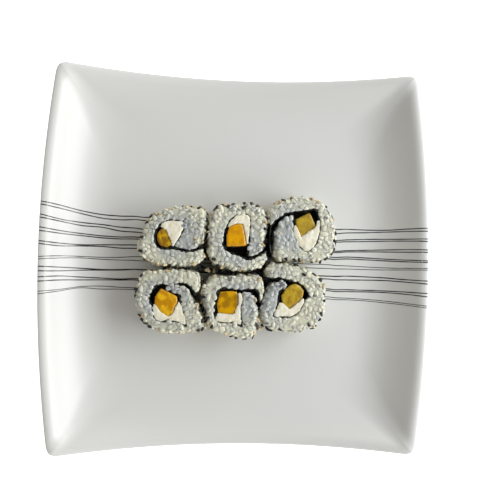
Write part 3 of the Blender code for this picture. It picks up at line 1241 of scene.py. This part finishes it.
TOPPINGS = {
    "rear_left": Topping(
        black=((138, 19), (154, 18), (180, 21), (207, 22), (266, 18.5), (276, 20), (48, 25), (26, 24), (15, 22)),
        toasted=((150, 19), (120, 16), (92, 19), (65, 21.5), (-8, 15), (-11, 21), (-30, 24), (228, 22), (257, 19),
                 (-53, 22)),
    ),
    "rear_middle": Topping(
        black=((127, 23), (117, 23), (110, 20), (100, 21), (81, 23), (79, 19), (69, 23), (59, 23), (42, 24),
               (34, 22), (17, 18), (-11, 17), (-136, 21), (-125, 22)),
        toasted=((112, 22), (140, 22), (29, 20), (-116, 22), (-84, 21)),
    ),
    "rear_right": Topping(
        black=((-7, 23), (-20, 22), (-24, 24), (-38, 25), (-31, 25), (-60, 24), (-78, 24), (-118, 22), (-134, 21)),
        toasted=((109, 24), (133, 24), (71, 20), (59, 20), (18, 21), (-168, 16), (-125, 19), (-87, 24), (-65, 23)),
    ),
    "front_left": Topping(
        black=((139, 24), (164, 22), (-154, 22), (-145, 22), (-137, 21), (-128, 21), (-45, 26), (-40, 27), (-16, 20),
               (-31, 24), (10, 20)),
        toasted=((96, 19), (62, 21), (-5, 16), (-13, 18), (-150, 19), (-108, 20)),
    ),
    "front_middle": Topping(
        black=((162, 19), (-171, 19), (-155, 17), (-135, 18), (-36, 19), (-37, 25), (-35, 27)),
        toasted=((158, 21), (46, 24), (-48, 24), (-27, 19), (-134, 20)),
    ),
    "front_right": Topping(
        black=((47, 23), (67, 16), (32, 21), (34, 23), (7, 20), (-6, 20), (-31, 21), (-40, 22), (-60, 20),
               (-130, 26), (-125, 26), (-112, 23)),
        toasted=((22, 21), (-54, 23), (-76, 23)),
    ),
}


# Lines on the plate in mm where seeds are wedged between the rolls, and how many of each sort: partly seeds lying
# there, partly black seeds heaped as painted shade in the gaps.
CREVICES = (
    (((-46, -5.5), (-33, -6.2), (-22, -6.5), (-10, -7.1), (0, -6.9), (9, -5.5), (16, -4.7)), (34, 10)),
    (((-21, -12), (-22.5, -22), (-22, -34), (-20.5, -40)), (14, 8)),
    (((15.5, -24), (14, -34), (14, -44)), (5, 6)),
)


@dataclass
class Scatter:
    """Sesame seeds of one sort over all the rolls."""

    sort: Sesame
    seed: int
    more: int
    ceiling: float
    shape: Grain = Grain(3.3, 2.0, 1.05, taper=0.38, along=6, around=8)
    wedged: Pair = (12.0, 26.0)

    def lay(self, near: Vector, normal: Vector, corners: np.ndarray, rng: np.random.Generator) -> np.ndarray:
        """Lays one seed flat on the rice.

        Args:
            near: The spot on the rice.
            normal: The rice's outward normal there.
            corners: The corners of one seed in millimetres.
            rng: The source of random numbers.

        Returns:
            The seed's corners in metres.
        """
        axes = facing(np.array(normal), rng.uniform(0, 2 * math.pi), rng.normal(0, 0.2))
        size = rng.uniform(0.88, 1.1)
        points = np.array(near + normal * (0.4 * MM)) + corners * (size * MM) @ axes
        points[:, 2] -= max(0.0, points[:, 2].max() - self.ceiling)
        return points

    def build(self, rolls: dict[str, tuple[Skin, Skin, Pair]]) -> bpy.types.Object:
        """Lays the seeds that are placed one by one, and some more on the sides.

        Args:
            rolls: The grains' skin, the solid's skin and the middle of each roll.

        Returns:
            The seeds as one piece.
        """
        corners, faces = self.shape.model("passing")
        rng = np.random.default_rng(self.seed)
        bodies = []
        for name, (grains, solid, middle) in rolls.items():
            topping = TOPPINGS[name]
            placed = topping.black if self.sort is Sesame.BLACK else topping.toasted
            top = solid.corners[:, 2].max()
            for bearing, distance in placed:
                turn = math.radians(bearing)
                x = middle[0] + distance * MM * math.cos(turn)
                y = middle[1] + distance * MM * math.sin(turn)
                hit, normal, _, _ = grains.tree.ray_cast(Vector((x, y, 0.1)), Vector((0, 0, -1)))
                if hit is None or hit.z < top - 4 * MM:
                    hit, normal, _, _ = grains.tree.find_nearest(Vector((x, y, top - 2.5 * MM)))
                bodies.append(self.lay(hit, (normal + Vector((0, 0, 0.4))).normalized(), corners, rng))
            normals = solid.normals()
            up = normals[:, 2] / np.linalg.norm(normals, axis=1)
            spots, on = solid.spots(self.more * 3, np.where(np.abs(up) < 0.6, 1.0, 0.0), rng)
            laid = 0
            for spot, face in zip(spots, on):
                outward = Vector(spot - np.array((*middle, spot[2])))
                normal = Vector(normals[face]).normalized()
                if laid >= self.more or outward.length < 14 * MM or outward.dot(normal) < 0.5 * outward.length:
                    continue
                hit, normal, _, _ = grains.tree.find_nearest(Vector(spot) + normal * MM)
                bodies.append(self.lay(hit, normal, corners, rng))
                laid += 1
        # Seeds wedged in the gaps between the rolls, partly painted shade that darkens them.
        for line, counts in CREVICES:
            path = flow(line, 12)
            for _ in range(counts[0] if self.sort is Sesame.BLACK else counts[1]):
                spot = path[rng.integers(len(path))]
                place = (spot.x + rng.normal(0, 0.8), spot.y + rng.normal(0, 0.8), rng.uniform(*self.wedged))
                normal = Vector(rng.normal(0, 1, 3)) + Vector((0, 0, 1.5))
                bodies.append(self.lay(Vector(place) * MM, normal.normalized(), corners, rng))
        return joined(self.sort.value + "_seeds", bodies, faces)


@dataclass
class NoriSheet:
    """The damp sheet of nori in one roll, with a dark patch of nori deep in the pocket as painted shade."""

    roll: str
    wrinkle: float = 0.15
    ragged: float = 1.6
    ragged_size: float = 2.4
    # Depth, reach and waviness of the dark patch, a painted shade in the pocket.
    shade_patch_depth: float = 7.0
    shade_patch_reach: float = 1.2
    shade_patch_wave: float = 1.0

    def shade_patch(self, fillings: Sequence[str]) -> bpy.types.Object:
        """Makes the dark patch, a wavy sheet that closes the pocket some way down and stands in for its shade.

        Args:
            fillings: Names of the CAD nodes in the pocket.

        Returns:
            The patch.
        """
        boxes = [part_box(name) for name in fillings]
        low = [min(box[0][axis] for box in boxes) - self.shade_patch_reach * MM for axis in (0, 1)]
        high = [max(box[1][axis] for box in boxes) + self.shade_patch_reach * MM for axis in (0, 1)]
        depth = min(box[1].z for box in boxes) - self.shade_patch_depth * MM
        bpy.ops.object.select_all(action="DESELECT")
        bpy.ops.mesh.primitive_grid_add(x_subdivisions=14, y_subdivisions=14, size=1)
        patch = bpy.context.object
        for corner in patch.data.vertices:
            x = low[0] + (high[0] - low[0]) * (corner.co.x + 0.5)
            y = low[1] + (high[1] - low[1]) * (corner.co.y + 0.5)
            wave = noise.noise(Vector((x, y, depth)) / (4 * MM)) * self.shade_patch_wave * MM
            corner.co = Vector((x, y, depth + wave))
        body = patch.modifiers.new("body", "SOLIDIFY")
        body.thickness = 0.4 * MM
        apply_modifiers(patch)
        return patch

    def build(self, node: bpy.types.Object, fillings: Sequence[str]) -> bpy.types.Object:
        """Makes the sheet: its solid, divided, wrinkled and ragged along its cut edge.

        Args:
            node: The sheet's CAD node.
            fillings: Names of the CAD nodes in the pocket.

        Returns:
            The sheet.
        """
        sheet = merged_copy(node, "nori_sheet_" + self.roll)
        bpy.ops.object.mode_set(mode="EDIT")
        bpy.ops.mesh.select_all(action="SELECT")
        bpy.ops.mesh.tris_convert_to_quads()
        bpy.ops.mesh.subdivide(number_cuts=3)
        bpy.ops.object.mode_set(mode="OBJECT")
        top = max(corner.co.z for corner in sheet.data.vertices)
        for corner in sheet.data.vertices:
            spot = corner.co / (2.2 * MM)
            push = noise.noise_vector(Vector((spot.x, spot.y, spot.z * 0.5)))
            corner.co.x += push.x * self.wrinkle * MM
            corner.co.y += push.y * self.wrinkle * MM
            if corner.co.z > top - 2 * MM:
                wave = noise.noise(Vector((corner.co.x, corner.co.y, 0)) / (self.ragged_size * MM))
                corner.co.z -= max(0.0, min(1.0, 0.35 + 1.3 * wave)) * self.ragged * MM
        # The dark patch deep in the pocket is a painted shade.
        patch = self.shade_patch(fillings)
        take_up(sheet)
        patch.select_set(True)
        bpy.ops.object.join()
        bpy.ops.object.shade_smooth_by_angle(angle=math.radians(40))
        return sheet


@dataclass
class Filling:
    """A soft filling of one roll, cream cheese or mango, that bulges where it was cut."""

    kind: str
    roll: str
    voxel: float
    softening: int
    lump: float
    lump_size: float
    spread: float
    least_spread: float
    rise: float
    lip: float = 1.6
    clear: float = 0.9

    def build(self, node: bpy.types.Object, beside: Skin) -> bpy.types.Object:
        """Makes the filling: its solid, remeshed, softened, lumpy and spread at the cut face.

        Args:
            node: The filling's CAD node.
            beside: The skin of the other filling, which it does not spread towards.

        Returns:
            The filling.
        """
        filling = merged_copy(node, f"{self.kind}_filling_{self.roll}")
        remesh(filling, self.voxel * MM, self.softening)
        apply_modifiers(filling)
        top = max(corner.co.z for corner in filling.data.vertices)
        for corner in filling.data.vertices:
            share = max(0.0, 1 - (top - corner.co.z) / (self.lip * MM))
            if share == 0.0:
                continue
            outward = Vector((corner.normal.x, corner.normal.y, 0))
            steep = 0.0 if beside.near(corner.co, self.clear * MM) else min(1.0, outward.length / 0.4)
            wave = 0.5 + 1.1 * noise.noise(corner.co / (2.6 * MM))
            reach = self.least_spread + (self.spread - self.least_spread) * max(0.0, min(1.0, wave))
            corner.co += outward.normalized() * (reach * MM * min(1.0, 2 * share) * steep**2)
            corner.co.z += self.rise * MM * share
        remesh(filling, self.voxel * MM, self.softening)
        roughen(filling, self.lump_size * MM, self.lump * MM)
        apply_modifiers(filling)
        bpy.ops.object.shade_smooth()
        return filling


# --------------------------------------------------------------------------- the studio


@dataclass
class Studio:
    """A pale floor, a broad window at the right, soft light all round, and the camera."""

    camera_place: tuple[float, float, float] = (-0.02399, -0.00634, 0.430)
    camera_turn: tuple[float, float, float] = (1.777, -4.493, 0.995)
    lens: float = 45.15
    window_place: tuple[float, float, float] = (0.85, 0.10, 0.66)
    window_size: Pair = (1.1, 0.62)
    window_power: float = 8.9
    window_colour: Colour = (0.93, 0.98, 1.0)
    fill: float = 1.08
    fill_colour: Colour = (1.0, 0.95, 0.87)
    overhead: float = 0.04
    lean: float = 0.6

    def floor(self) -> bpy.types.Object:
        """Lays the floor."""
        bpy.ops.object.select_all(action="DESELECT")
        bpy.ops.mesh.primitive_plane_add(size=6)
        floor = bpy.context.object
        floor.name = "studio_floor"
        material = bpy.data.materials.new("studio_floor")
        material.use_nodes = True
        shader = material.node_tree.nodes["Principled BSDF"]
        shader.inputs["Base Color"].default_value = (0.9, 0.9, 0.9, 1.0)
        shader.inputs["Roughness"].default_value = 0.9
        shader.inputs["Emission Color"].default_value = (1.0, 1.0, 1.0, 1.0)
        shader.inputs["Emission Strength"].default_value = 0.95
        floor.data.materials.append(material)
        floor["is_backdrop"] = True
        return floor

    def light(self) -> None:
        """Hangs the window light and sets the soft light all round."""
        data = bpy.data.lights.new("window", "AREA")
        data.shape = "RECTANGLE"
        data.size, data.size_y = self.window_size
        data.energy = self.window_power
        data.color = self.window_colour
        window = bpy.data.objects.new("window", data)
        bpy.context.scene.collection.objects.link(window)
        window.location = self.window_place
        window.rotation_euler = (-Vector(self.window_place)).to_track_quat("-Z", "Y").to_euler()
        bpy.context.scene.world = self.room()
        bpy.context.scene.view_settings.view_transform = "Standard"

    def room(self) -> bpy.types.World:
        """Makes the soft light all round, dim overhead and brighter towards the window.

        Returns:
            The world.
        """
        world = bpy.data.worlds.new("soft_light")
        world.use_nodes = True
        wiring = Wiring(world.node_tree)
        sky = world.node_tree.nodes["Background"]
        sky.inputs["Color"].default_value = (*self.fill_colour, 1.0)
        way = wiring.add("ShaderNodeTexCoord").outputs["Generated"]
        parts = wiring.add("ShaderNodeSeparateXYZ", {0: way})
        feed = {"Value": parts.outputs["Z"], "From Min": 0.55, "From Max": 0.9}
        feed.update({"To Min": self.fill, "To Max": self.overhead})
        level = wiring.add("ShaderNodeMapRange", feed, interpolation_type="SMOOTHSTEP")
        feed = {0: parts.outputs["X"], 1: self.lean, 2: 1.0}
        lean = wiring.add("ShaderNodeMath", feed, operation="MULTIPLY_ADD")
        feed = {0: level.outputs["Result"], 1: lean.outputs[0]}
        strength = wiring.add("ShaderNodeMath", feed, operation="MULTIPLY")
        wiring.tree.links.new(strength.outputs[0], sky.inputs["Strength"])
        return world

    def camera(self) -> None:
        """Sets up the camera."""
        data = bpy.data.cameras.new("camera")
        data.lens = self.lens
        data.clip_start = 0.01
        camera = bpy.data.objects.new("camera", data)
        camera.location = self.camera_place
        camera.rotation_euler = [math.radians(angle) for angle in self.camera_turn]
        bpy.context.scene.collection.objects.link(camera)
        bpy.context.scene.camera = camera


# --------------------------------------------------------------------------- putting it together

FINISHES = (
    Finish("glaze", (0.69, 0.70, 0.705), (0.72, 0.73, 0.735), patch=60, contrast=0.7, smooth=0.27, rough=0.3,
           relief=0.0, relief_size=9.0, cells=0.0, shine=0.35),
    Finish("line_print", (0.03, 0.03, 0.03), (0.05, 0.05, 0.05), patch=3, smooth=0.12, rough=0.2, relief=0.01),
    # The rice's last two colours are its painted shade and its painted light.
    RiceFinish("rice", (0.74, 0.77, 0.78), (1.0, 1.0, 1.0), patch=4.0, contrast=3.0, smooth=0.2, rough=0.42,
               relief=0.05, relief_size=1.2, soak=0.9, soak_depth=2.2, soak_tint=(1.0, 0.92, 0.8),
               shaded=(0.52, 0.545, 0.545), lit=(0.78, 0.77, 0.62)),
    Finish("nori", (0.004, 0.006, 0.005), (0.014, 0.018, 0.013), patch=2.5, smooth=0.3, rough=0.6,
           relief=0.15, relief_size=1.2, cells=0.8),
    Finish("cream_cheese", (0.77, 0.73, 0.57), (0.89, 0.875, 0.775), patch=4, smooth=0.25, rough=0.5,
           relief=0.35, relief_size=3.2, soak=0.4, soak_depth=1.5, soak_tint=(1.0, 0.85, 0.65)),
    Finish("black_sesame", (0.004, 0.004, 0.004), (0.014, 0.013, 0.012), patch=1.0, smooth=0.3, rough=0.55,
           relief=0.06, relief_size=0.4),
    Finish("toasted_sesame", (0.34, 0.23, 0.10), (0.74, 0.63, 0.42), patch=1.0, contrast=4, smooth=0.3, rough=0.55,
           relief=0.05, relief_size=0.4),
)

MANGOES = {
    "rear_left": MangoFinish("mango_rear_left", (0.28, 0.14, 0.002), (0.62, 0.36, 0.008), patch=4, contrast=7,
                             smooth=0.14, rough=0.32, soak=0.2, soak_depth=1.5, coat=0.45),
    "rear_middle": MangoFinish("mango_rear_middle", (0.62, 0.28, 0.002), (0.76, 0.38, 0.003), patch=4, contrast=6,
                               smooth=0.14, rough=0.3, soak=0.2, soak_depth=1.5, coat=0.45,
                               fibre_share=0.12),
    "rear_right": MangoFinish("mango_rear_right", (0.36, 0.23, 0.013), (0.49, 0.345, 0.036), patch=4, contrast=6,
                              smooth=0.2, rough=0.4, soak=0.15, soak_depth=1.2, coat=0.45),
    "front_left": MangoFinish("mango_front_left", (0.56, 0.26, 0.004), (0.82, 0.48, 0.014), patch=5, contrast=7,
                              smooth=0.08, rough=0.2, soak=0.2, soak_depth=1.5, coat=0.6,
                              fibre_share=0.12),
    "front_middle": MangoFinish("mango_front_middle", (0.36, 0.18, 0.001), (0.69, 0.36, 0.002), patch=5, contrast=7,
                                smooth=0.14, rough=0.3, soak=0.15, soak_depth=1.2, coat=0.45,
                                fibre_share=0.2),
    "front_right": MangoFinish("mango_front_right", (0.36, 0.22, 0.008), (0.55, 0.38, 0.035), patch=4, contrast=7,
                               smooth=0.15, rough=0.35, soak=0.15, soak_depth=1.2, coat=0.5,
                               fibre_share=0.6),
}


def box_middle(node: str) -> Pair:
    """Returns the middle of a node's box, seen from above."""
    low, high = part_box(node)
    return (low.x + high.x) / 2, (low.y + high.y) / 2


def build_roll(roll: str, seed: int, nodes: dict, finishes: dict, grains: tuple, ceiling: float) -> tuple:
    """Builds the rice, the nori and the fillings of one roll.

    Args:
        roll: The roll's name.
        seed: Its seed for random numbers.
        nodes: The CAD nodes by name.
        finishes: The materials by name.
        grains: The corners of each sort of grain, and the faces of a grain.
        ceiling: Height that nothing may pass.

    Returns:
        The grains' skin, the rice solid's skin and the roll's middle.
    """
    middle = box_middle("rice_" + roll)
    filling = Skin.of_both(nodes["mango_" + roll], nodes["cream_cheese_" + roll])
    band = RiceBand(roll, seed, middle, ceiling, PAINTED_SHADING[roll])
    core = band.build_core(nodes["rice_" + roll])
    inner = Inside(Skin.of(nodes["nori_" + roll]), filling)
    cover = band.build_grains(nodes["rice_" + roll], inner, *grains)
    for piece in (core, cover):
        dress(piece, finishes["rice"])
        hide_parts("rice_" + roll)
    sheet = NoriSheet(roll).build(nodes["nori_" + roll], ("mango_" + roll, "cream_cheese_" + roll))
    dress(sheet, finishes["nori"])
    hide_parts("nori_" + roll)
    cream = Filling("cream", roll, 0.4, 2, 0.6, 2.6, 1.7, 0.9, 0.5)
    cream = cream.build(nodes["cream_cheese_" + roll], Skin.of(nodes["mango_" + roll]))
    dress(cream, finishes["cream_cheese"])
    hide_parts("cream_cheese_" + roll)
    mango = Filling("mango", roll, 0.4, 2, 0.35, 3.0, 0.6, 0.4, 0.0, lip=6.0, clear=0.0)
    mango = mango.build(nodes["mango_" + roll], Skin.of(nodes["cream_cheese_" + roll]))
    dress(mango, finishes["mango_" + roll])
    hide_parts("mango_" + roll)
    return Skin.of(cover), Skin.of(nodes["rice_" + roll]), middle


def main() -> None:
    """Builds the dressed plate and rolls, and the studio round them."""
    logging.basicConfig(level=logging.INFO, format="%(name)s: %(message)s")
    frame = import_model()
    cad_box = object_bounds()
    nodes = frame["nodes"]
    groups = {"mottle": make_mottle(), "grain": make_grain()}
    finishes = {finish.name: finish.build(groups) for finish in (*FINISHES, *MANGOES.values())}

    plate = Dish().build()
    dress(plate, finishes["glaze"])
    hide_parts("plate")
    lines = Strokes().build(plate)
    dress(lines, finishes["line_print"])

    grains = [grain.model("passing") for grain in GRAINS]
    shapes = ([corners for corners, _ in grains], grains[0][1])
    ceiling = cad_box[1][2]
    rolls = {}
    for number, roll in enumerate(TOPPINGS):
        rolls[roll] = build_roll(roll, 11 + number, nodes, finishes, shapes, ceiling)
    for sort, seed, more in ((Sesame.BLACK, 71, 30), (Sesame.TOASTED, 72, 20)):
        seeds = Scatter(sort, seed, more, ceiling).build(rolls)
        dress(seeds, finishes[sort.value])

    studio = Studio()
    studio.floor()
    studio.light()
    studio.camera()


if __name__ == "__main__":
    main()
